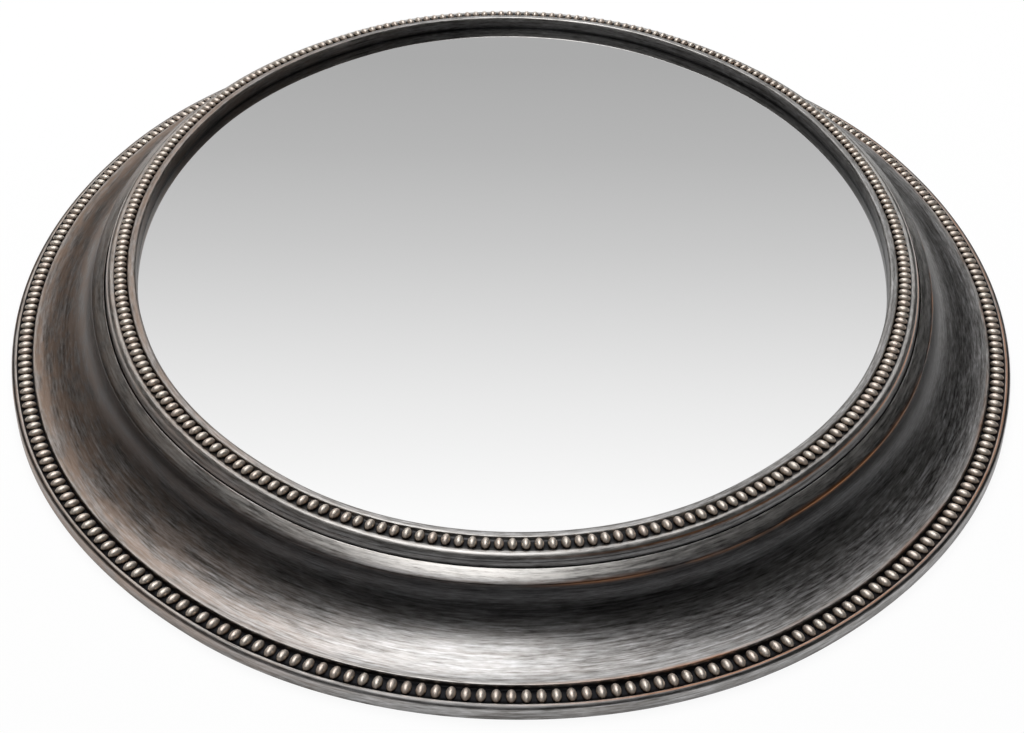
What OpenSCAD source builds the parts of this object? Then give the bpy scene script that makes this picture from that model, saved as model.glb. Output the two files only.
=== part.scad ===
// Oval wall mirror with a bead moulding, lying on its back: the glass faces up and the top of the
// oval points along +Y. The origin is the middle of the flat back. A moulding profile is a list
// of [inset, height] points, where the inset is measured inwards from the outermost edge.

/* [Oval] */
// Width over the rim
frame_w = 610; // [590:1:630]
// Height over the rim
frame_h = 768; // [748:1:788]

/* [Rim and outer bead channel] */
// Height of the rim over the back
rim_h = 7.6; // [7.4:0.1:8.6]
// Width of the rim
rim_w = 3.2; // [2.6:0.1:4]
// Radius of the rim's outer shoulder
rim_round = 1.8; // [1:0.1:2.2]
// Width of the outer bead channel
channel_w = 9.6; // [9.2:0.1:10.4]
// Height of the outer channel's floor over the back
channel_floor = 7.1; // [6.7:0.1:7.3]
// Height of the cove's foot, where the channel ends
cove_foot_h = 10.3; // [9.8:0.1:11]
// Width of the flat at the cove's foot
cove_foot_w = 0.6; // [0.3:0.1:1]

/* [Cove and outer lip] */
// Width of the hollow cove
cove_w = 36.3; // [35.6:0.1:37]
// Rise of the hollow cove
cove_rise = 27.6; // [27:0.1:28.5]
// Width of the lip over the cove
lip_w = 7.7; // [7.2:0.1:8]
// Rise of the lip over its width
lip_rise = 5.5; // [5:0.1:6]
// Bulge of the lip over its chord
lip_bulge = 0.6; // [0.3:0.1:0.9]

/* [Bezel ring] */
// Gap between the outer frame's lip and the bezel
part_gap = 0.6; // [0.4:0.1:0.8]
// Height of the bezel's seat in the frame
seat_h = 38; // [37.5:0.1:38.4]
// Width of the hollow at the bezel's outer edge
hollow_w = 2.2; // [1.8:0.1:2.6]
// Height of the bezel's bead land over the seat
land_rise = 11.4; // [11:0.1:11.8]
// Width of the rounded edge and the land outside the inner beads
land_w = 3.3; // [3:0.1:3.6]
// Width of the inner bead channel
inner_channel_w = 8.2; // [8:0.1:8.6]
// Width of the sight lip next to the opening
sight_w = 3.6; // [3.2:0.1:4]
// Rise of the sight lip over the bead land
sight_rise = 1.7; // [1.4:0.1:2]
// Width of the bevel at the sight lip's inner edge
bevel_w = 0.7; // [0.5:0.1:1]
// Depth of the bevel at the sight lip's inner edge
bevel_h = 2.4; // [2:0.1:2.8]
// How far the inner wall leans in under the bevel, down to the glass
wall_lean = 0.9; // [0.6:0.1:1.2]
// Depth of the glass rabbet in the bezel, up from its seat
bezel_rabbet_h = 4.9; // [4.5:0.1:5.2]

/* [Beads] */
// Length of an outer bead, across the moulding
outer_bead_l = 8.8; // [8.4:0.1:9]
// Height of an outer bead
outer_bead_h = 2.9; // [2.7:0.1:3]
// Number of outer beads
outer_bead_count = 301; // [296:1:306]
// Length of an inner bead, across the moulding
inner_bead_l = 7.8; // [7.4:0.1:7.8]
// Height of an inner bead
inner_bead_h = 2.8; // [2.6:0.1:2.9]
// Number of inner beads
inner_bead_count = 271; // [266:1:276]

/* [Glass and backing] */
// Thickness of the mirror glass
glass_t = 4; // [3.8:0.1:4.4]
// Thickness of the foam strip between glass and board
strip_t = 8.4; // [8:0.1:9]
// Width of the foam strip
strip_w = 12; // [9:0.5:15]
// Thickness of the backing board
board_t = 3; // [2.8:0.1:3.4]
// Play between the glass or the board and the rabbet wall
glass_play = 1; // [0.6:0.1:1.4]
// Cover of the bezel over the edge of the glass
glass_cover = 7.8; // [7.4:0.1:8.2]
// Width of the back ledge that the turn buttons sit on
ledge_w = 13.5; // [13:0.1:14]

/* [Turn buttons] */
// Number of turn buttons, and of bezel screws between them
button_count = 8; // [6:2:10]
// Width of a turn button
button_w = 12; // [10:0.5:12]
// Distance from a turn button's screw to its tip
button_reach = 18; // [16:0.5:19]
// Thickness of a turn button
button_t = 1.2; // [1:0.1:1.6]
// Distance from the rabbet wall to a turn button's screw
button_inset = 6; // [5.8:0.1:6.2]

/* [Screws] */
// Shank diameter of every screw
shank_d = 3; // [2.5:0.1:3.2]
// Head diameter of every screw
head_d = 6; // [5.5:0.1:6.4]
// Head height of every screw
head_h = 1.9; // [1.6:0.1:2]
// Depth of a turn button's screw in the ledge
button_screw_depth = 7; // [6:0.5:8]
// Depth of the pocket for a bezel screw's head
head_pocket = 2.5; // [2.2:0.1:3]
// Depth of a bezel screw in the bezel
bezel_bite = 6; // [5:0.5:7]
// Distance from the rabbet wall to a bezel screw
bezel_screw_inset = 4.8; // [4.6:0.1:5]
// Depth of a hanger screw in the frame
hanger_bite = 4.5; // [4:0.1:5]

/* [Hangers] */
// Direction of each hanger, as the moulding faces there, up from the side
hanger_angle = 24; // [22:1:28]
// Inset of the middle of a hanger's ring pin
hanger_inset = 33; // [32:0.5:34]
// Width of a hanger strap
strap_w = 12.7; // [12:0.1:14]
// Thickness of a hanger strap
strap_t = 1.2; // [1:0.1:1.4]
// Length of a hanger strap below the ring pin
strap_l = 33; // [32:0.5:34]
// Distance between a strap's two screws
screw_pitch = 12; // [11:0.5:13]
// Wire diameter of a hanging ring
wire_d = 2.5; // [2.2:0.1:2.6]
// Radius of a hanging ring's bow, to the middle of the wire
bow_r = 9.3; // [9:0.1:9.5]
// Depth of the pocket behind a hanger
pocket_h = 5.6; // [5.5:0.1:6]
// Clear space round a hanger in its pocket
pocket_play = 2; // [1.5:0.1:2.5]

/* [Fits] */
// Radial clearance of a moving piece on its pin
pin_play = 0.05; // [0.02:0.01:0.08]
// Radial clearance of a screw in its hole
screw_play = 0.1; // [0.05:0.05:0.2]

/* [Hidden] */

// Insets of the moulding's steps
cove_foot_in = rim_w + channel_w;
cove_in = cove_foot_in + cove_foot_w;
lip_in = cove_in + cove_w;
part_in = lip_in + lip_w;
bezel_in = part_in + part_gap;
land_in = bezel_in + hollow_w;
bead_in = land_in + land_w;
sight_in = bead_in + inner_channel_w;
opening_in = sight_in + sight_w;
glass_in = opening_in - glass_cover;
rabbet_in = glass_in - glass_play;
ledge_in = rabbet_in - ledge_w;
button_in = rabbet_in - button_inset;
bezel_screw_in = rabbet_in - bezel_screw_inset;

// Heights of the moulding's steps
lip_h = cove_foot_h + cove_rise;
part_h = lip_h + lip_rise;
land_h = seat_h + land_rise;
sight_h = land_h + sight_rise;
glass_top = seat_h + bezel_rabbet_h;
strip_top = glass_top - glass_t;
board_top = strip_top - strip_t;
ledge_h = board_top - board_t;

// The oval is eight tangent arcs. Their joints lie in directions with exact decimals, and the radii
// are whole eighths of a millimetre, so that neighbouring arcs meet without a step.
side_dir = [0.936, 0.352];
end_dir = [0.6, 0.8];
mid_angle = (atan2(side_dir.y, side_dir.x) + atan2(end_dir.y, end_dir.x)) / 2;
reach = [frame_w / 2, frame_h / 2];
corner_r = eighth(pow(reach.x * reach.y, 2)
    / pow(pow(reach.x * cos(mid_angle), 2) + pow(reach.y * sin(mid_angle), 2), 1.5));
rest = reach - corner_r * [side_dir.x - end_dir.x, end_dir.y - side_dir.y];
det = (1 - side_dir.x) * (1 - end_dir.y) - end_dir.x * side_dir.y;
side_r = eighth((rest.x * (1 - end_dir.y) - end_dir.x * rest.y) / det);
end_r = eighth(((1 - side_dir.x) * rest.y - side_dir.y * rest.x) / det);
end_c = [0, (side_r - corner_r) * side_dir.y + (corner_r - end_r) * end_dir.y];
corner_c = end_c - (corner_r - end_r) * end_dir;
side_c = corner_c - (side_r - corner_r) * side_dir;

// Each arc has its centre, its radius, its first and its last direction.
side_arc = [side_c, side_r, [side_dir.x, -side_dir.y], side_dir];
corner_arc = [corner_c, corner_r, side_dir, end_dir];
end_arc = [end_c, end_r, end_dir, [-end_dir.x, end_dir.y]];
arcs = [
    side_arc,
    corner_arc,
    end_arc,
    flipped(corner_arc),
    turned(side_arc),
    turned(corner_arc),
    turned(end_arc),
    turned(flipped(corner_arc)),
];

function eighth(v) = round(v * 8) / 8;
function turned(arc) = [-arc[0], arc[1], -arc[2], -arc[3]];
function flipped(arc) = [[-arc[0].x, arc[0].y], arc[1], [-arc[3].x, arc[3].y], [-arc[2].x, arc[2].y]];
function heading(v) = (atan2(v.y, v.x) + 360) % 360;
function span(arc) = (heading(arc[3]) - heading(arc[2]) + 360) % 360;
function arc_length(arc, inset) = (arc[1] - inset) * span(arc) * PI / 180;
function arc_start(inset, i) = i == 0 ? 0 : arc_start(inset, i - 1) + arc_length(arcs[i - 1], inset);
function oval_length(inset) = arc_start(inset, 8);

// The arc number and the turn at a distance along the oval, from the start of the first arc
function station(inset, s, i = 0) = i == 7 || s <= arc_length(arcs[i], inset)
    ? [i, heading(arcs[i][2]) + s / (arcs[i][1] - inset) * 180 / PI]
    : station(inset, s - arc_length(arcs[i], inset), i + 1);

// Points on an upright ellipse's arc, where 0 is to the right and 90 is up
function bow_points(c, r, from, to, n) =
    [for (i = [0:n]) let (a = from + (to - from) * i / n) [c.x + r.x * cos(a), c.y + r.y * sin(a)]];

// Places a child at a share of the way round, from the middle of the right-hand side, with X outwards
module at_share(inset, share) {
    total = oval_length(inset);
    p = station(inset, (share * total + arc_length(arcs[0], inset) / 2) % total);
    translate(arcs[p[0]][0])
        rotate(p[1])
            translate([arcs[p[0]][1] - inset, 0, 0])
                children();
}

// The sector between an arc's first and last directions, from a distance off its centre
module wedge(arc, from = 0)
    polygon([from * arc[2], 1000 * arc[2], 1000 * arc[3], from * arc[3]]);

// The side arcs' sectors start at the corner arcs' centres, so that their tips stay inside the oval.
module oval_area(inset)
    for (arc = arcs)
        translate(arc[0])
            intersection() {
                circle(arc[1] - inset, $fn = 180);
                wedge(arc, arc[1] == side_r ? side_r - corner_r : 0);
            }

module oval_band(outer, inner) difference() {
    oval_area(outer);
    oval_area(inner);
}

module oval_sweep(profile)
    for (arc = arcs)
        translate(arc[0])
            intersection() {
                rotate_extrude($fn = 180) polygon([for (p = profile) [arc[1] - p.x, p.y]]);
                linear_extrude(land_h + 20) wedge(arc);
            }

// A bead is half of a round-ended bar, lying across the moulding with its flat side down.
module half_bead(l, h)
    rotate([0, 90, 0])
        rotate_extrude(angle = 180, start = 90, $fn = 48)
            intersection() {
                union() {
                    for (end = [-1, 1])
                        translate([0, end * (l / 2 - h)]) circle(h, $fn = 48);
                    translate([-h, h - l / 2]) square([2 * h, l - 2 * h]);
                }
                translate([0, -l]) square([2 * h, 2 * l]);
            }

module bead_row(inset, count, l, h)
    for (k = [0:count - 1])
        at_share(inset, k / count) half_bead(l, h);

module at_button(i) at_share(button_in, (i - 0.5) / button_count) children();

module at_bezel_screws()
    for (i = [1:button_count])
        at_share(bezel_screw_in, i / button_count) children();

// A hanger's frame: the ring pin lies along X, across the moulding, and the strap runs down along -Y.
module at_hanger(side)
    translate([side * hanger_at.x, hanger_at.y, 0])
        rotate(side * hanger_angle)
            children();

module at_strap_screws()
    for (i = [0, 1])
        translate([0, -screw_drop - i * screw_pitch, 0]) children();

hanger_at = corner_c + (corner_r - hanger_inset) * [cos(hanger_angle), sin(hanger_angle)];
pin_z = pocket_h - wire_d / 2 - pin_play - strap_t - 0.2;
pin_half = bow_r + wire_d / 2 + 0.3;
barrel_r = wire_d / 2 + pin_play + strap_t;
ring_reach = bow_r + wire_d / 2;
screw_drop = ring_reach + head_d / 2 + 1.5;

frame_profile = concat(
    [[0.6, 0], [0, 0.6]],
    bow_points([rim_round, rim_h - rim_round], [rim_round, rim_round], 180, 90, 4),
    [[rim_w - 0.4, rim_h], [rim_w, rim_h - 0.4], [rim_w, channel_floor], [cove_foot_in, channel_floor],
     [cove_foot_in, cove_foot_h]],
    bow_points([cove_in, lip_h], [cove_w, cove_rise], -90, 0, 14),
    [[lip_in + lip_w / 2 - lip_bulge * lip_rise / lip_w, lip_h + lip_rise / 2 + lip_bulge],
     [part_in, part_h], [part_in, seat_h], [rabbet_in, seat_h], [rabbet_in, ledge_h],
     [ledge_in, ledge_h], [ledge_in, 0]]
);

bezel_profile = concat(
    [[bezel_in, seat_h], [bezel_in, part_h + 0.2]],
    bow_points([bezel_in, land_h - 1.2], [hollow_w, land_h - 1.4 - part_h], -90, 0, 4),
    bow_points([land_in + 1.2, land_h - 1.2], [1.2, 1.2], 165, 90, 4),
    [[bead_in + inner_channel_w, land_h], [sight_in, sight_h - 0.5], [sight_in + 0.6, sight_h],
     [opening_in - 0.4, sight_h], [opening_in, sight_h - 0.4], [opening_in + bevel_w, sight_h - bevel_h],
     [opening_in + bevel_w + wall_lean, glass_top], [rabbet_in + 0.5, glass_top], [rabbet_in + 0.5, seat_h]]
);

// A screw points up: its head's outer face is at head_z and its shank goes on past the head by bite.
module screw(bite, head_z)
    union() {
        translate([0, 0, head_z]) cylinder(h = head_h, d = head_d, $fn = 48);
        translate([0, 0, head_z + head_h - 0.1]) cylinder(h = bite + 0.1, d = shank_d, $fn = 48);
    }

module screw_hole(depth) cylinder(h = depth, d = shank_d + 2 * screw_play, $fn = 48);

module outer_frame() color([0.36, 0.34, 0.33])
    difference() {
        oval_sweep(frame_profile);
        for (side = [-1, 1])
            at_hanger(side) {
                translate([-pin_half - pocket_play, -strap_l - pocket_play, -1])
                    cube([2 * (pin_half + pocket_play), strap_l + ring_reach + 2 * pocket_play, pocket_h + 1]);
                at_strap_screws() screw_hole(pocket_h + hanger_bite + 0.5);
            }
        for (i = [1:button_count])
            at_button(i)
                translate([0, 0, ledge_h - 1]) screw_hole(button_screw_depth + 1.5);
        at_bezel_screws() {
            translate([0, 0, ledge_h - 1]) cylinder(h = head_pocket + 1, d = head_d + 1, $fn = 48);
            translate([0, 0, ledge_h]) screw_hole(seat_h - ledge_h + 1);
        }
    }

module outer_beads() color([0.62, 0.58, 0.53])
    translate([0, 0, channel_floor])
        bead_row(rim_w + channel_w / 2, outer_bead_count, outer_bead_l, outer_bead_h);

module bezel_ring() color([0.40, 0.38, 0.37])
    difference() {
        oval_sweep(bezel_profile);
        at_bezel_screws()
            translate([0, 0, seat_h - 1]) screw_hole(bezel_bite + 1.5);
    }

module inner_beads() color([0.62, 0.58, 0.53])
    translate([0, 0, land_h])
        bead_row(bead_in + inner_channel_w / 2, inner_bead_count, inner_bead_l, inner_bead_h);

module mirror_glass() color([0.86, 0.88, 0.89])
    translate([0, 0, strip_top]) linear_extrude(glass_t) oval_area(glass_in);

module foam_strip() color([0.25, 0.25, 0.25])
    translate([0, 0, board_top])
        linear_extrude(strip_t) oval_band(glass_in + 1, glass_in + 1 + strip_w);

module backing_board() color([0.47, 0.33, 0.22])
    translate([0, 0, ledge_h]) linear_extrude(board_t) oval_area(glass_in);

module turn_button(i) color([0.72, 0.72, 0.70])
    at_button(i)
        translate([0, 0, ledge_h - button_t])
            difference() {
                linear_extrude(button_t)
                    union() {
                        circle(d = button_w, $fn = 64);
                        translate([-button_reach + button_w / 2, -button_w / 2])
                            square([button_reach - button_w / 2, button_w]);
                        translate([-button_reach + button_w / 2, 0]) circle(d = button_w, $fn = 64);
                    }
                translate([0, 0, -1]) cylinder(h = button_t + 2, d = shank_d + 2 * pin_play, $fn = 48);
            }

module turn_button_screws() color([0.70, 0.66, 0.52])
    for (i = [1:button_count])
        at_button(i)
            screw(button_t + 0.1 + button_screw_depth, ledge_h - button_t - 0.1 - head_h);

module bezel_screws() color([0.70, 0.66, 0.52])
    at_bezel_screws()
        screw(seat_h - ledge_h - head_pocket + bezel_bite, ledge_h + head_pocket - head_h);

module hanger_strap(side) color([0.72, 0.72, 0.70])
    at_hanger(side)
        difference() {
            union() {
                translate([-strap_w / 2, -strap_l, pocket_h - strap_t]) cube([strap_w, strap_l, strap_t]);
                translate([-strap_w / 2, 0, pin_z])
                    rotate([0, 90, 0])
                        cylinder(h = strap_w, r = barrel_r, $fn = 48);
            }
            translate([-strap_w, 0, pin_z])
                rotate([0, 90, 0])
                    cylinder(h = 2 * strap_w, d = wire_d + 2 * pin_play, $fn = 48);
            at_strap_screws() screw_hole(pocket_h + 1);
        }

module hanger_ring(side) color([0.75, 0.75, 0.73])
    at_hanger(side)
        translate([0, 0, pin_z]) {
            rotate([0, 90, 0]) cylinder(h = 2 * pin_half, d = wire_d, center = true, $fn = 48);
            rotate_extrude(angle = 180, $fn = 96) translate([bow_r, 0]) circle(d = wire_d, $fn = 48);
        }

module hanger_screws() color([0.70, 0.66, 0.52])
    for (side = [-1, 1])
        at_hanger(side)
            at_strap_screws()
                screw(strap_t + hanger_bite, pocket_h - strap_t - head_h);

outer_frame();
outer_beads();
bezel_ring();
inner_beads();
mirror_glass();
foam_strip();
backing_board();
for (i = [1:button_count])
    turn_button(i);
turn_button_screws();
bezel_screws();
hanger_strap(-1);  // hanger_strap_left
hanger_strap(1);  // hanger_strap_right
hanger_ring(-1);  // hanger_ring_left
hanger_ring(1);  // hanger_ring_right
hanger_screws();
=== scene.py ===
"""Oval wall mirror lying on its back: a deep hollow moulding in rubbed antique pewter, a bezel ring,
two rows of beads, silvered glass, and the fittings on its back.

Lengths in this file are millimetres until a mesh is made. A moulding profile is a list of
[inset, height] points, where the inset is measured inwards from the outermost edge.
"""

import bpy
import numpy as np
from mathutils import Matrix


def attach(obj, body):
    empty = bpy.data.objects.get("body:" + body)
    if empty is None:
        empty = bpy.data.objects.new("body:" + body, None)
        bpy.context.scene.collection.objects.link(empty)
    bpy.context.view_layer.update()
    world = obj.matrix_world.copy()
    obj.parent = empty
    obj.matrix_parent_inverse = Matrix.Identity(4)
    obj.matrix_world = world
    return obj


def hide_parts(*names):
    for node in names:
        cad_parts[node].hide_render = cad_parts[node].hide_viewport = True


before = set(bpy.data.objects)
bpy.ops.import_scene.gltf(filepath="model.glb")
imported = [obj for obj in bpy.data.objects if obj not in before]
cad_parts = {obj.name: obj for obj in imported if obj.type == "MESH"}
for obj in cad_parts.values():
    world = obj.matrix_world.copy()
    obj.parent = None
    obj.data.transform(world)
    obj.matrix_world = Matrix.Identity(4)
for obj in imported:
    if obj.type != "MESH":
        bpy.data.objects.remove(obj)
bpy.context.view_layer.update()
MM = 0.001


# ---------------------------------------------------------------- the oval

# The upper right quarter of the oval: half of the side arc, the corner arc and half of the end arc.
SIDE_R, CORNER_R, END_R = 485.0, 363.0, 253.375
SIDE_DIR = np.array([0.936, 0.352])
END_DIR = np.array([0.6, 0.8])
END_C = np.array([0.0, (SIDE_R - CORNER_R) * SIDE_DIR[1] + (CORNER_R - END_R) * END_DIR[1]])
CORNER_C = END_C - (CORNER_R - END_R) * END_DIR
SIDE_C = CORNER_C - (SIDE_R - CORNER_R) * SIDE_DIR

# The way round a moulding is measured about halfway across it.
MIDDLE_INSET = 35.0


def oval_arcs():
    """The eight arcs from the middle of the right side round: centres, radii, first headings and spans.
    The side arc comes first and last, half of it each time."""
    side, end = np.arctan2(SIDE_DIR[1], SIDE_DIR[0]), np.arctan2(END_DIR[1], END_DIR[0])
    half = np.pi / 2
    flip = np.array([-1.0, 1.0])
    centres = [SIDE_C, CORNER_C, END_C, CORNER_C * flip, SIDE_C * flip, -CORNER_C, -END_C,
               CORNER_C * -flip, SIDE_C]
    radii = [SIDE_R, CORNER_R, END_R, CORNER_R, SIDE_R, CORNER_R, END_R, CORNER_R, SIDE_R]
    starts = [0, side, end, 2 * half - end, 2 * half - side, 2 * half + side, 2 * half + end,
              4 * half - end, 4 * half - side]
    spans = np.diff(starts + [4 * half])
    return np.array(centres), np.array(radii), np.array(starts), spans


def oval_places(shares, inset):
    """Places at shares of the way round the oval at an inset: centre, radius and heading of each one's arc.

    The arc lengths (radius - inset) * span add up round the oval. A share picks the arc that its distance
    falls in, and the heading grows from the arc's first one by distance / (radius - inset)."""
    centres, radii, starts, spans = oval_arcs()
    lengths = (radii - inset) * spans
    ends = np.cumsum(lengths)
    distance = np.mod(shares, 1.0) * ends[-1]
    arc = np.minimum(np.searchsorted(ends, distance, side="right"), len(radii) - 1)
    heading = starts[arc] + (distance - (ends - lengths)[arc]) / (radii - inset)[arc]
    return centres[arc], radii[arc], heading


def oval_length(inset):
    """The oval's length at an inset: the sum of (radius - inset) * span."""
    _, radii, _, spans = oval_arcs()
    return float(((radii - inset) * spans).sum())


# ---------------------------------------------------------------- meshes

def new_piece(name, points, faces, smooth=True, **values):
    """A mesh object at the origin from points in millimetres and a list of faces. values are one number
    or vector a point, kept as attributes for the material."""
    mesh = bpy.data.meshes.new(name)
    mesh.from_pydata((points * MM).tolist(), [], faces)
    mesh.polygons.foreach_set("use_smooth", np.full(len(mesh.polygons), smooth))
    for key, value in values.items():
        kind, slot = ("FLOAT_VECTOR", "vector") if value.ndim == 2 else ("FLOAT", "value")
        layer = mesh.attributes.new(key, kind, "POINT")
        layer.data.foreach_set(slot, np.ascontiguousarray(value, dtype=np.float32).ravel())
    mesh.update()
    piece = bpy.data.objects.new(name, mesh)
    bpy.context.collection.objects.link(piece)
    return piece


def grid_faces(rows, columns, closed_columns):
    """Quads of a grid whose rows close on themselves. A column closes too where closed_columns is true."""
    row = np.arange(rows)[:, None]
    column = np.arange(columns if closed_columns else columns - 1)[None, :]
    after, beside = (row + 1) % rows, (column + 1) % columns
    corners = [row * columns + column, row * columns + beside, after * columns + beside,
               after * columns + column]
    return np.stack(np.broadcast_arrays(*corners), axis=-1).reshape(-1, 4).tolist()


def bow(centre, radii, first, last, steps):
    """Points on an ellipse's arc, centre + radii * (cos a, sin a), with a in degrees from first to last."""
    a = np.radians(np.linspace(first, last, steps + 1))
    return np.stack([centre[0] + radii[0] * np.cos(a), centre[1] + radii[1] * np.sin(a)], axis=1)


def bend(first, over, last, steps):
    """Points on a parabola from first to last that sets out towards over:
    (1 - t) ** 2 * first + 2 * t * (1 - t) * over + t ** 2 * last, with t from 0 to 1."""
    first, over, last = np.array([first, over, last])
    t = np.linspace(0, 1, steps + 1)[:, None]
    return (1 - t) ** 2 * first + 2 * t * (1 - t) * over + t ** 2 * last


def near(profile, places):
    """How close each profile point lies to marked places, each (inset, height, reach): the largest of
    exp(-(distance / reach) ** 2)."""
    marks = np.array(places)
    distance = np.linalg.norm(profile[:, None, :] - marks[None, :, :2], axis=2)
    return np.exp(-(distance / marks[None, :, 2]) ** 2).max(axis=1)


def sweep(name, profile, closed, stations, **finish):
    """A moulding: the profile carried round the oval.

    A point is centre + (radius - inset) * (cos heading, sin heading) at the profile's height. The
    attribute way holds, in metres, the way round as a point on a circle of the oval's length, and the
    distance along the profile, so that streaks along the moulding have no seam. finish gives a value for
    each profile point: the worn edges with their painted highlight, the bared copper, and the glaze with its
    painted shade."""
    shares = np.arange(stations) / stations
    centre, radius, heading = oval_places(shares, MIDDLE_INSET)
    reach = radius[:, None] - profile[None, :, 0]
    points = np.stack(np.broadcast_arrays(centre[:, :1] + reach * np.cos(heading)[:, None],
                                          centre[:, 1:] + reach * np.sin(heading)[:, None],
                                          profile[None, :, 1]), axis=-1)
    round_r = oval_length(MIDDLE_INSET) / (2 * np.pi)
    turn = (2 * np.pi * shares)[:, None]
    steps = np.linalg.norm(np.diff(profile, axis=0), axis=1)
    across = np.concatenate([[0.0], np.cumsum(steps)])
    way = np.stack(np.broadcast_arrays(round_r * np.cos(turn), round_r * np.sin(turn), across), axis=-1)
    return new_piece(name, points.reshape(-1, 3), grid_faces(stations, len(profile), closed),
                     way=way.reshape(-1, 3) * MM,
                     **{key: np.tile(value, stations) for key, value in finish.items()})


def moulding_face():
    """The outer frame's face, from the rim over the channel, the cove and the lip into the dark joint.
    It lies about a tenth of a millimetre over the carved blank."""
    profile = np.concatenate([
        # the rim: its wall, its round shoulder, its flat and its inner edge
        [[-0.01, 0.6], [-0.01, 2.4], [-0.01, 4.2]],
        bow((1.8, 5.8), (1.81, 1.9), 180, 90, 8),
        [[2.4, 7.68]],
        bow((2.85, 7.3), (0.45, 0.36), 90, 0, 4),
        # the channel's floor, up to the flat at the cove's foot
        [[3.4, 7.2], [5.6, 7.2], [8.0, 7.2], [10.4, 7.2]],
        bow((12.2, 7.7), (0.48, 0.5), -90, 0, 4),
        [[12.68, 8.8]],
        bow((13.2, 9.9), (0.52, 0.52), 180, 90, 4),
        # the cove, and the lip over it
        bow((13.4, 37.9), (36.18, 27.48), -90, -0.77, 36),
        [[49.7, 38.3]],
        bow((50.75, 38.9), (1.02, 0.98), 180, 121.6, 6),
        bend([50.216, 39.735], [53.9, 42.0], [57.2, 43.47], 12)[1:],
        # down into the joint
        [[57.38, 43.44], [57.44, 43.3], [57.44, 41.0], [57.44, 38.4]],
    ])
    # Bright silver on the rim's inner edge, the cove's foot and broadly over the lip: partly wear, partly a
    # painted highlight where these rounded edges catch the light.
    worn = near(profile, [(2.7, 7.6, 0.8), (13.0, 10.3, 0.8), (53.8, 41.9, 2.4), (56.2, 43.1, 2.4)])
    bared = near(profile, [(2.4, 7.5, 0.5), (13.1, 10.3, 0.5), (50.1, 39.5, 1.1)])
    # Black on the profile: darker on the rim's wall and shoulder, glaze and painted shade on the channel floor
    # between the beads, a painted shadow line above the cove's foot where a small groove would be, mostly
    # painted shade under the lip, and black in the joint.
    glazed_insets = [0.6, 0.8, 1.6, 2.0, 3.0, 3.4, 12.5, 13.0, 14.6, 15.6, 16.6, 36, 42, 46, 49.7, 50.6,
                     52.2, 57.3, 57.4]
    glaze_there = [0.15, 0.6, 0.6, 0, 0, 1, 1, 0, 0, 0.4, 0, 0, 0.5, 0.8, 0.9, 0.45, 0, 0, 1]
    glaze = np.interp(profile[:, 0], glazed_insets, glaze_there)
    return sweep("moulding_face", profile, False, 760, worn=worn, bared=bared, glaze=glaze)


def bezel():
    """The bezel ring: a hollow outer edge, a rounded shoulder, the bead land, the sight lip and the
    inner wall down to the glass."""
    profile = np.concatenate([
        # up the joint, the hollow edge and the shoulder
        [[58.2, 38.02], [58.0, 38.3], [58.0, 41.0]],
        bend([58.0, 43.2], [58.75, 44.2], [58.8, 46.0], 8),
        bow((61.9, 45.4), (3.1, 4.0), 171, 90, 14),
        [[62.6, 49.39], [63.3, 49.34]],
        # the bead land
        [[63.6, 49.24], [65.6, 49.24], [67.6, 49.24], [69.6, 49.24], [71.4, 49.24]],
        # the sight lip and the inner wall
        bow((72.3, 50.5), (0.6, 0.56), 190, 90, 6),
        [[73.5, 51.08]],
        bow((74.75, 49.7), (1.75, 1.38), 90, 5, 9),
        [[76.56, 47.3], [76.68, 45.4], [76.84, 43.3], [76.84, 43.05], [76.5, 42.95]],
        # back under the land
        [[72.0, 42.95], [67.0, 42.95], [67.0, 38.02]],
    ])
    inset, height = profile.T
    # Bright silver on the bezel's shoulder, the land's edge and the sight lip: partly wear and partly a
    # painted highlight; on the lip's bevel it is a painted highlight.
    worn = near(profile, [(60.4, 48.9, 1.2), (62.4, 49.35, 1.2), (72.0, 50.9, 0.5), (75.9, 50.4, 0.8)])
    bared = near(profile, [(59.5, 48.0, 0.5)])
    land_middle = 66
    # Black in the joint, painted shade in the hollow outer edge, and glaze and painted shade on the bead land
    # between the beads.
    glaze = np.interp(inset, [58.0, 58.2, 58.8, 59.1, 59.6, 63.3, 63.7, 71.3, 71.8],
                      [0.9, 0.45, 0.65, 0.65, 0.0, 0.0, 1.0, 1.0, 0.0])
    # Painted shade on the inner wall, darkest at its foot where it meets the glass.
    wall = np.interp(height, [43.2, 43.6, 48.0, 49.0], [1.0, 0.45, 0.35, 0.0]) * (inset > land_middle)
    return sweep("bezel", profile, True, 700, worn=worn, bared=bared, glaze=np.maximum(glaze, wall))


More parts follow.
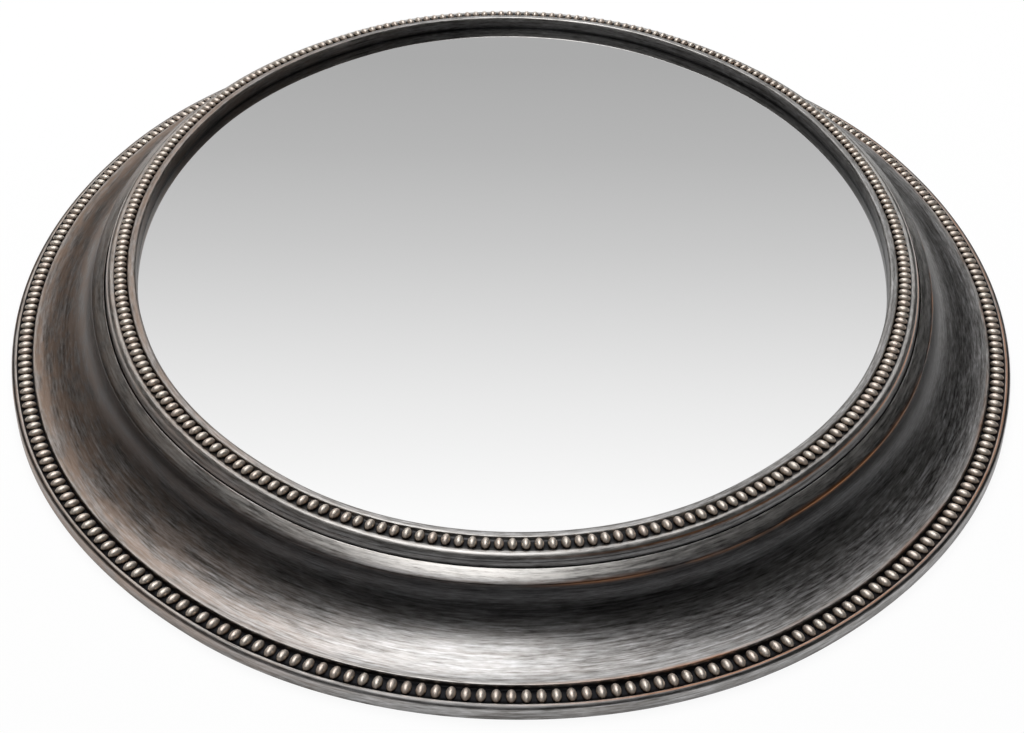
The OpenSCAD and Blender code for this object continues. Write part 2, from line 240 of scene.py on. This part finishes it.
def bead_row(name, inset, count, start, half_long, half_wide, height, floor):
    """A row of beads on a channel's floor, the first one start of a bead's pitch along.

    Each bead is a dome: at a rise t its outline is an ellipse of half_long and half_wide times
    cos(t) ** 0.75, and its height is height * sin(t). Its lowest ring is sunk into the floor. The
    attributes are crown, from 0 at the floor to 1 at the top, and tone, one chance value a bead."""
    around, sunk = 12, 0.15
    rise = np.radians([0, 0, 24, 46, 69])
    fullness = 0.75
    centre, radius, heading = oval_places((np.arange(count) + start) / count, inset)
    out = np.cos(rise) ** fullness
    up = height * np.sin(rise)
    up[0] = -sunk
    turn = (np.arange(around) + 0.5) * 2 * np.pi / around
    across = np.concatenate([(half_long * out[:, None] * np.cos(turn)).ravel(), [0.0]])
    along = np.concatenate([(half_wide * out[:, None] * np.sin(turn)).ravel(), [0.0]])
    high = np.concatenate([np.repeat(up, around), [height]])
    reach = (radius - inset)[:, None] + across[None, :]
    cos, sin = np.cos(heading)[:, None], np.sin(heading)[:, None]
    points = np.stack([centre[:, :1] + reach * cos - along[None, :] * sin,
                       centre[:, 1:] + reach * sin + along[None, :] * cos,
                       np.broadcast_to(floor + high[None, :], reach.shape)], axis=-1)

    # quads between one bead's rings, and triangles from its last ring to its top
    levels = len(rise) - 1
    step = np.arange(around)
    beside = (step + 1) % around
    ring_start = np.arange(levels)[:, None] * around
    sides = np.stack([ring_start + step, ring_start + beside, ring_start + around + beside,
                      ring_start + around + step], axis=-1).reshape(-1, 4)
    last = levels * around
    caps = np.stack([last + step, last + beside, np.full(around, last + around)], axis=-1)
    bead_start = np.arange(count)[:, None, None] * across.size
    faces = (bead_start + sides).reshape(-1, 4).tolist() + (bead_start + caps).reshape(-1, 3).tolist()

    tone = np.random.RandomState(count).uniform(0, 1, count)
    return new_piece(name, points.reshape(-1, 3), faces,
                     crown=np.tile(np.clip(high, 0, None) / height, count), tone=np.repeat(tone, across.size))


# ---------------------------------------------------------------- materials

def linear(colour):
    """The linear colour of an sRGB hex value."""
    srgb = np.array([int(colour[k:k + 2], 16) / 255 for k in (1, 3, 5)])
    value = np.where(srgb <= 0.04045, srgb / 12.92, ((srgb + 0.055) / 1.055) ** 2.4)
    return [*value.tolist(), 1.0]


def add(tree, kind, inputs=None, stops=None, **settings):
    """Adds a node. settings are its attributes, inputs gives each input socket a value or the output
    that it is linked to, and stops are a colour ramp's (place, hex colour) pairs."""
    node = tree.nodes.new(kind)
    for name, value in settings.items():
        setattr(node, name, value)
    for name, value in (inputs or {}).items():
        if isinstance(value, bpy.types.NodeSocket):
            tree.links.new(value, node.inputs[name])
        else:
            node.inputs[name].default_value = value
    for k, (place, colour) in enumerate(stops or []):
        elements = node.color_ramp.elements
        element = elements[k] if k < len(elements) else elements.new(place)
        element.position = place
        element.color = linear(colour)
    return node


def new_material(name, **sockets):
    """A material with an empty tree, its principled shader with these plain socket values, and its output."""
    made = bpy.data.materials.new(name)
    made.use_nodes = True
    tree = made.node_tree
    tree.nodes.clear()
    shader = add(tree, "ShaderNodeBsdfPrincipled",
                 {key.replace("_", " "): value for key, value in sockets.items()})
    add(tree, "ShaderNodeOutputMaterial", {"Surface": shader.outputs[0]})
    return made, tree, shader


def finish_with(tree, shader, **outputs):
    """Links outputs to the shader's sockets of the same names."""
    for key, output in outputs.items():
        tree.links.new(output, shader.inputs[key.replace("_", " ")])


def streaks(tree, way, stretch, detail):
    """Noise drawn out along the moulding: stretch is the patterns a metre round and across."""
    scaled = add(tree, "ShaderNodeVectorMath", {0: way, 1: (stretch[0], stretch[0], stretch[1])},
                 operation="MULTIPLY")
    noise = add(tree, "ShaderNodeTexNoise", {"Vector": scaled.outputs[0], "Scale": 1.0, "Detail": detail,
                                            "Roughness": 0.62})
    return noise.outputs["Fac"]


def pewter_finish():
    """Silver-grey metal leaf, brushed back over a black ground: charcoal and silver brush lines along the
    moulding, soft brown where the bole shows on the left, bright edges with copper in places on the
    right, black in the hollows. The bright silver on the edges is partly wear and partly a painted
    highlight where rounded edges catch the light. The black in the hollows is partly glaze and partly
    painted shade: under the lip, in the bead channels, on the bezel's hollow edge and on its inner wall.
    The real lines are about 0.3 mm wide: here they are 0.8 to 1.3 mm
    wide, so that they show, and 8 to 36 mm long. The clouds in them are 5 mm by 22 mm, and the copper
    comes and goes over about 110 mm."""
    bole_brown, worn_silver, black_glaze, copper = "#AE927E", "#E0DCD6", "#0F1015", "#C98A5C"
    made, tree, shader = new_material("brushed_pewter_leaf")
    way = add(tree, "ShaderNodeAttribute", attribute_name="way").outputs["Vector"]
    worn, bared, glaze = [add(tree, "ShaderNodeAttribute", attribute_name=name).outputs["Fac"]
                          for name in ("worn", "bared", "glaze")]
    place = add(tree, "ShaderNodeTexCoord").outputs["Object"]
    sideways = add(tree, "ShaderNodeSeparateXYZ", {0: place}).outputs["X"]

    # the leaf and its brush lines
    long_lines = streaks(tree, way, (28.0, 800.0), 4.0)
    short_lines = streaks(tree, way, (130.0, 1250.0), 3.0)
    clouds = streaks(tree, way, (45.0, 210.0), 6.0)
    lines = add(tree, "ShaderNodeMix", {0: 0.5, 2: long_lines, 3: short_lines}).outputs[0]
    leaf = add(tree, "ShaderNodeMix", {0: 0.25, 2: lines, 3: clouds}).outputs[0]
    silver = add(tree, "ShaderNodeValToRGB", {0: leaf}, stops=[
        (0.38, "#6E6D6B"), (0.46, "#9B9A99"), (0.53, "#BABABA"), (0.62, "#E2E2E4")]).outputs[0]

    # brown bole, from 20 mm left of the middle and strongest 280 mm out
    left = add(tree, "ShaderNodeMapRange", {0: sideways, 1: -0.02, 2: -0.28, 3: 0.10, 4: 0.85},
               interpolation_type="SMOOTHSTEP").outputs[0]
    bole = add(tree, "ShaderNodeMapRange", {0: clouds, 1: 0.38, 2: 0.60, 3: 0.40, 4: 1.0},
               interpolation_type="SMOOTHSTEP").outputs[0]
    bole_share = add(tree, "ShaderNodeMath", {0: bole, 1: left}, operation="MULTIPLY").outputs[0]
    browned = add(tree, "ShaderNodeMix", {0: bole_share, 6: silver, 7: linear(bole_brown)},
                  data_type="RGBA").outputs[2]

    # worn edges with a painted highlight, then glaze and painted shade, then copper that was rubbed bare last,
    # right of the middle
    edge_break = add(tree, "ShaderNodeMapRange", {0: leaf, 1: 0.4, 2: 0.6, 3: 0.1, 4: 0.8}).outputs[0]
    edge_share = add(tree, "ShaderNodeMath", {0: worn, 1: edge_break}, operation="MULTIPLY").outputs[0]
    edged = add(tree, "ShaderNodeMix", {0: edge_share, 6: browned, 7: linear(worn_silver)},
                data_type="RGBA").outputs[2]
    right = add(tree, "ShaderNodeMapRange", {0: sideways, 1: 0.0, 2: 0.08, 3: 0.03, 4: 1.0}).outputs[0]
    wide_clouds = streaks(tree, way, (9.0, 60.0), 3.0)
    copper_break = add(tree, "ShaderNodeMapRange",
                       {0: wide_clouds, 1: 0.42, 2: 0.56, 3: 0.05, 4: 0.95}).outputs[0]
    patches = add(tree, "ShaderNodeMath", {0: right, 1: copper_break}, operation="MULTIPLY").outputs[0]
    copper_share = add(tree, "ShaderNodeMath", {0: bared, 1: patches}, operation="MULTIPLY").outputs[0]
    glazed = add(tree, "ShaderNodeMix", {0: glaze, 6: edged, 7: linear(black_glaze)},
                 data_type="RGBA").outputs[2]
    colour = add(tree, "ShaderNodeMix", {0: copper_share, 6: glazed, 7: linear(copper)},
                 data_type="RGBA").outputs[2]

    # where the glaze and painted shade are thickest, the metal under them is dulled
    bright = add(tree, "ShaderNodeMapRange", {0: lines, 1: 0.45, 2: 0.6, 3: 1.0, 4: 0.95}).outputs[0]
    metal = add(tree, "ShaderNodeMapRange", {0: glaze, 1: 0.93, 2: 1.0, 3: bright, 4: 0.7}).outputs[0]
    rough = add(tree, "ShaderNodeMapRange", {0: leaf, 1: 0.4, 2: 0.62, 3: 0.29, 4: 0.40}).outputs[0]
    bump = add(tree, "ShaderNodeBump", {"Height": lines, "Distance": 0.00012, "Strength": 0.3}).outputs[0]
    finish_with(tree, shader, Base_Color=colour, Metallic=metal, Roughness=rough, Normal=bump)
    return made


def bead_finish():
    """Champagne metal leaf rubbed over the black ground: bright on each bead's crown, warm lower down,
    and black round its foot. The bright crown is partly rubbed leaf and partly a painted highlight, and
    the black foot is partly glaze and partly painted shade where the bead meets the floor. The speckle is
    about 1 mm across."""
    made, tree, shader = new_material("champagne_leaf_with_painted_light", Metallic=0.9)
    crown, tone = [add(tree, "ShaderNodeAttribute", attribute_name=name).outputs["Fac"]
                   for name in ("crown", "tone")]
    place = add(tree, "ShaderNodeTexCoord").outputs["Object"]
    speckle = add(tree, "ShaderNodeTexNoise", {"Vector": place, "Scale": 900.0, "Detail": 3.0}).outputs["Fac"]
    # The crown ramp paints a highlight on each bead's top and shade round its foot, over the rubbed leaf.
    lifted = add(tree, "ShaderNodeMath", {0: speckle, 1: 0.3, 2: crown}, operation="MULTIPLY_ADD").outputs[0]
    rubbed_and_painted_light = add(tree, "ShaderNodeValToRGB", {0: lifted}, stops=[
        (0.24, "#1C1818"), (0.42, "#988A7E"), (0.64, "#EADDD0"), (0.88, "#FFF8F0")]).outputs[0]
    tinted = add(tree, "ShaderNodeMix", {0: tone, 6: linear("#FFF8EE"), 7: linear("#F2DED0")},
                 data_type="RGBA").outputs[2]
    colour = add(tree, "ShaderNodeMix", {0: 0.5, 6: rubbed_and_painted_light, 7: tinted}, data_type="RGBA",
                 blend_type="MULTIPLY").outputs[2]
    rough = add(tree, "ShaderNodeMapRange", {0: lifted, 1: 0.2, 2: 1.0, 3: 0.56, 4: 0.44}).outputs[0]
    finish_with(tree, shader, Base_Color=colour, Roughness=rough)
    return made


def mirror_finish():
    """Silvered float glass: a clear, even reflection with hardly any tint."""
    return new_material("silvered_glass", Base_Color=linear("#FCFCFC"), Metallic=1.0, Roughness=0.0)[0]


def back_finish():
    """The moulding's back and rabbet: black-stained wood with a faint grain that runs along X, about
    4 mm wide and 80 mm long."""
    made, tree, shader = new_material("black_stained_wood")
    place = add(tree, "ShaderNodeTexCoord").outputs["Object"]
    drawn = add(tree, "ShaderNodeVectorMath", {0: place, 1: (12.0, 260.0, 260.0)},
                operation="MULTIPLY").outputs[0]
    grain = add(tree, "ShaderNodeTexNoise", {"Vector": drawn, "Scale": 1.0, "Detail": 6.0}).outputs["Fac"]
    colour = add(tree, "ShaderNodeValToRGB", {0: grain}, stops=[
        (0.3, "#191615"), (0.55, "#2B2523"), (0.75, "#3C332E")]).outputs[0]
    rough = add(tree, "ShaderNodeMapRange", {0: grain, 3: 0.55, 4: 0.75}).outputs[0]
    bump = add(tree, "ShaderNodeBump", {"Height": grain, "Distance": 0.0001, "Strength": 0.4}).outputs[0]
    finish_with(tree, shader, Base_Color=colour, Roughness=rough, Normal=bump)
    return made


def hardboard_finish():
    """Brown hardboard: pressed wood fibres on a smooth waxy face, in clouds of about 45 mm. The real
    fibres are 0.2 to 0.5 mm wide: here they are 0.7 mm, so that they show."""
    made, tree, shader = new_material("brown_hardboard", Roughness=0.62)
    place = add(tree, "ShaderNodeTexCoord").outputs["Object"]
    fibre = add(tree, "ShaderNodeTexNoise", {"Vector": place, "Scale": 1400.0, "Detail": 5.0}).outputs["Fac"]
    cloud = add(tree, "ShaderNodeTexNoise", {"Vector": place, "Scale": 22.0, "Detail": 3.0}).outputs["Fac"]
    mixed = add(tree, "ShaderNodeMix", {0: 0.35, 2: fibre, 3: cloud}).outputs[0]
    colour = add(tree, "ShaderNodeValToRGB", {0: mixed}, stops=[
        (0.3, "#4A3120"), (0.5, "#6B4930"), (0.7, "#87623F")]).outputs[0]
    bump = add(tree, "ShaderNodeBump", {"Height": fibre, "Distance": 0.00008, "Strength": 0.5}).outputs[0]
    finish_with(tree, shader, Base_Color=colour, Normal=bump)
    return made


def foam_finish():
    """Black closed-cell foam strip: matt, with cells of about half a millimetre."""
    made, tree, shader = new_material("closed_cell_foam", Roughness=0.9)
    place = add(tree, "ShaderNodeTexCoord").outputs["Object"]
    cells = add(tree, "ShaderNodeTexVoronoi", {"Vector": place, "Scale": 1800.0}).outputs["Distance"]
    colour = add(tree, "ShaderNodeValToRGB", {0: cells}, stops=[(0.0, "#121212"), (0.8, "#2A2A2A")]).outputs[0]
    bump = add(tree, "ShaderNodeBump", {"Height": cells, "Distance": 0.0001, "Strength": 0.5}).outputs[0]
    finish_with(tree, shader, Base_Color=colour, Normal=bump)
    return made


def plated_finish(name, low, high, rough_low, rough_high):
    """Plated metal with a soft rolled sheen and faint handling marks about 4 mm across."""
    made, tree, shader = new_material(name, Metallic=1.0)
    place = add(tree, "ShaderNodeTexCoord").outputs["Object"]
    marks = add(tree, "ShaderNodeTexNoise", {"Vector": place, "Scale": 240.0, "Detail": 6.0}).outputs["Fac"]
    colour = add(tree, "ShaderNodeValToRGB", {0: marks}, stops=[(0.35, low), (0.65, high)]).outputs[0]
    rough = add(tree, "ShaderNodeMapRange", {0: marks, 1: 0.3, 2: 0.7, 3: rough_low, 4: rough_high}).outputs[0]
    finish_with(tree, shader, Base_Color=colour, Roughness=rough)
    return made


def dress(piece, material):
    """Puts one material on all of a piece's slots."""
    if not piece.material_slots:
        piece.data.materials.append(material)
    for slot in piece.material_slots:
        slot.material = material


# ---------------------------------------------------------------- the object

pewter = pewter_finish()
leaf_beads = bead_finish()
nickel = plated_finish("nickel_plated_steel", "#B4B2AC", "#C8C6C0", 0.24, 0.38)
brass = plated_finish("brass_plated_steel", "#A98A4C", "#C6A765", 0.26, 0.42)

# The turn buttons, the hanger straps and the rings are nickel-plated.
FINISHES = {
    "outer_frame": back_finish(),
    "mirror_glass": mirror_finish(),
    "foam_strip": foam_finish(),
    "backing_board": hardboard_finish(),
    "turn_button_screws": brass,
    "bezel_screws": brass,
    "hanger_screws": brass,
}
for node_name, node_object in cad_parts.items():
    dress(node_object, FINISHES.get(node_name, nickel))

face = moulding_face()
dress(face, pewter)
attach(face, "frame")

ring = bezel()
dress(ring, pewter)
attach(ring, "frame")
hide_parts("bezel_ring")

BEAD_ROWS = (
    ("outer_bead_row", "outer_beads", dict(inset=8.0, count=301, start=0.83, half_long=4.3, half_wide=2.6,
                                           height=2.88, floor=7.1)),
    ("inner_bead_row", "inner_beads", dict(inset=67.6, count=271, start=0.30, half_long=3.85, half_wide=2.45,
                                           height=2.78, floor=49.4)),
)
for row_name, node_name, values in BEAD_ROWS:
    row = bead_row(row_name, **values)
    dress(row, leaf_beads)
    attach(row, "frame")
    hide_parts(node_name)


# ---------------------------------------------------------------- floor, light and camera

def sent_on(tree, path):
    """1 for the rays that metal and glass send on, and 0 for all others."""
    return add(tree, "ShaderNodeMath",
               {0: path.outputs["Is Glossy Ray"], 1: path.outputs["Is Transmission Ray"]},
               operation="MAXIMUM").outputs[0]


def floor():
    """A pale floor just under the object. It shows white to the camera with a soft shadow, pale grey in
    metal and glass, and nothing from below."""
    reach, below = 3000, -0.3
    camera_share, mirror_share = 0.93, 0.28
    corners = np.array([[-reach, -reach, below], [reach, -reach, below], [reach, reach, below],
                        [-reach, reach, below]])
    plane = new_piece("floor", corners, [[0, 1, 2, 3]], smooth=False)
    made, tree, shader = new_material("matt_white_paper", Base_Color=linear("#F2F2F2"), Roughness=1.0)
    path = add(tree, "ShaderNodeLightPath")
    white = add(tree, "ShaderNodeEmission", {"Color": linear("#FFFFFF"), "Strength": 1.0})
    mirrored = add(tree, "ShaderNodeMath", {0: sent_on(tree, path), 1: mirror_share},
                   operation="MULTIPLY").outputs[0]
    seen = add(tree, "ShaderNodeMath", {0: path.outputs["Is Camera Ray"], 1: camera_share, 2: mirrored},
               operation="MULTIPLY_ADD").outputs[0]
    paper = add(tree, "ShaderNodeMixShader", {0: seen, 1: shader.outputs[0], 2: white.outputs[0]}).outputs[0]
    behind = add(tree, "ShaderNodeNewGeometry").outputs["Backfacing"]
    clear = add(tree, "ShaderNodeBsdfTransparent").outputs[0]
    shown = add(tree, "ShaderNodeMixShader", {0: behind, 1: paper, 2: clear}).outputs[0]
    output = next(node for node in tree.nodes if node.bl_idname == "ShaderNodeOutputMaterial")
    tree.links.new(shown, output.inputs["Surface"])
    dress(plane, made)


def studio():
    """The room: white to the camera and an even soft grey for the light that it gives. Reflections show
    a back wall that brightens from grey at 24 degrees up to white at 39, a bright ceiling panel a little
    to the left of the middle, white from 54 to 92 degrees and fading towards the front, and dim walls,
    darker on the right. The turn is the angle from the back horizon over the ceiling to the front, and
    half_turn is that turn as a share of 180 degrees."""
    panel_light, room_light = 3.2, 0.3
    white = linear("#FFFFFF")
    world = bpy.data.worlds.new("studio")
    bpy.context.scene.world = world
    world.use_nodes = True
    tree = world.node_tree
    tree.nodes.clear()
    way = add(tree, "ShaderNodeTexCoord").outputs["Generated"]
    axes = add(tree, "ShaderNodeSeparateXYZ", {0: way}).outputs
    turn = add(tree, "ShaderNodeMath", {0: axes["Z"], 1: axes["Y"]}, operation="ARCTAN2").outputs[0]
    half_turn = add(tree, "ShaderNodeMath", {0: turn, 1: np.pi}, operation="DIVIDE").outputs[0]
    wall, panel = [
        add(tree, "ShaderNodeValToRGB", {0: half_turn}, stops=[
            (degrees / 180, colour) for degrees, colour in shades]).outputs[0]
        for shades in (
            ((0, "#9A9A9A"), (24.5, "#ACACAC"), (27.3, "#B8B8B8"), (30.4, "#CCCCCC"), (35.0, "#ECECEC"),
             (38.8, "#FFFFFF")),
            ((44, "#000000"), (54, "#FFFFFF"), (92, "#FFFFFF"), (112, "#707070"), (126, "#424242"),
             (144, "#1A1A1A"), (162, "#000000")))]

    # soft edges, each from where the lit area is full to where it has faded out
    wall_right, wall_left, wall_top, panel_right, panel_left = [
        add(tree, "ShaderNodeMapRange", {0: source, 1: full, 2: faded, 3: 1.0, 4: 0.0},
            interpolation_type="SMOOTHSTEP").outputs[0]
        for source, full, faded in (
            (axes["X"], 0.215, 0.34), (axes["X"], -0.215, -0.38), (half_turn, 42 / 180, 48 / 180),
            (axes["X"], -0.05, 0.20), (axes["X"], -0.17, -0.37))]
    wall_width = add(tree, "ShaderNodeMath", {0: wall_right, 1: wall_left}, operation="MULTIPLY").outputs[0]
    wall_area = add(tree, "ShaderNodeMath", {0: wall_width, 1: wall_top}, operation="MULTIPLY").outputs[0]
    panel_area = add(tree, "ShaderNodeMath", {0: panel_right, 1: panel_left}, operation="MULTIPLY").outputs[0]
    panel_glow = add(tree, "ShaderNodeMath", {0: panel_area, 1: panel_light}, operation="MULTIPLY").outputs[0]

    # the dim walls, the lit back wall over them, and the panel's light on top
    dim = add(tree, "ShaderNodeMapRange", {0: axes["X"], 1: 0.4, 2: -0.4, 3: 0.04, 4: 0.10}).outputs[0]
    shade = add(tree, "ShaderNodeBackground", {"Color": white, "Strength": dim}).outputs[0]
    lit_wall = add(tree, "ShaderNodeBackground", {"Color": wall, "Strength": 1.0}).outputs[0]
    walls = add(tree, "ShaderNodeMixShader", {0: wall_area, 1: shade, 2: lit_wall}).outputs[0]
    lit_panel = add(tree, "ShaderNodeBackground", {"Color": panel, "Strength": panel_glow}).outputs[0]
    reflected = add(tree, "ShaderNodeAddShader", {0: walls, 1: lit_panel}).outputs[0]
    path = add(tree, "ShaderNodeLightPath")
    plain = add(tree, "ShaderNodeBackground", {"Color": white, "Strength": 1.0}).outputs[0]
    glow = add(tree, "ShaderNodeBackground", {"Color": white, "Strength": room_light}).outputs[0]
    lit = add(tree, "ShaderNodeMixShader", {0: sent_on(tree, path), 1: glow, 2: reflected}).outputs[0]
    shown = add(tree, "ShaderNodeMixShader", {0: path.outputs["Is Camera Ray"], 1: lit, 2: plain}).outputs[0]
    add(tree, "ShaderNodeOutputWorld", {"Surface": shown})


def stand(name, data, place, right, up, back):
    """The object of a lamp or camera at a place in metres, which looks along minus back."""
    holder = bpy.data.objects.new(name, data)
    turned = Matrix(np.stack([right, up, back], axis=1).tolist()).to_4x4()
    holder.matrix_world = Matrix.Translation(place) @ turned
    bpy.context.collection.objects.link(holder)
    return holder


def soft_box(name, place, target, size, watts):
    """A rectangular area light at a place in metres that faces a target. Metal shows the studio's panel
    in its place."""
    lamp = bpy.data.lights.new(name, "AREA")
    lamp.shape = "RECTANGLE"
    lamp.size, lamp.size_y = size
    lamp.energy = watts
    aim = np.array(target) - np.array(place)
    back = -aim / np.linalg.norm(aim)
    right = np.cross([0.0, 1.0, 0.0], back)
    right /= np.linalg.norm(right)
    stand(name, lamp, place, right, np.cross(back, right), back).visible_glossy = False


def camera():
    """The camera, 31 degrees above the mirror's lower end, as the photograph was taken."""
    yaw, pitch, roll = 0.007144, -0.593833, 0.018079
    place = (-0.006343, -1.001528, 0.615249)
    sensor, focal_pixels, photo_width = 36.0, 1844.61, 1024
    ahead = np.array([np.sin(yaw) * np.cos(pitch), np.cos(yaw) * np.cos(pitch), np.sin(pitch)])
    level = np.array([np.cos(yaw), -np.sin(yaw), 0.0])
    top = np.cross(level, ahead)
    right = np.cos(roll) * level + np.sin(roll) * top
    up = -np.sin(roll) * level + np.cos(roll) * top
    lens = bpy.data.cameras.new("camera")
    lens.sensor_width = sensor
    lens.lens = focal_pixels / photo_width * sensor
    bpy.context.scene.camera = stand("camera", lens, place, right, up, -ahead)


floor()
studio()
soft_box("ceiling_box", (-0.12, 0.75, 1.9), (0.0, 0.0, 0.0), (1.5, 1.5), 42)
camera()
bpy.context.scene.view_settings.view_transform = "Standard"
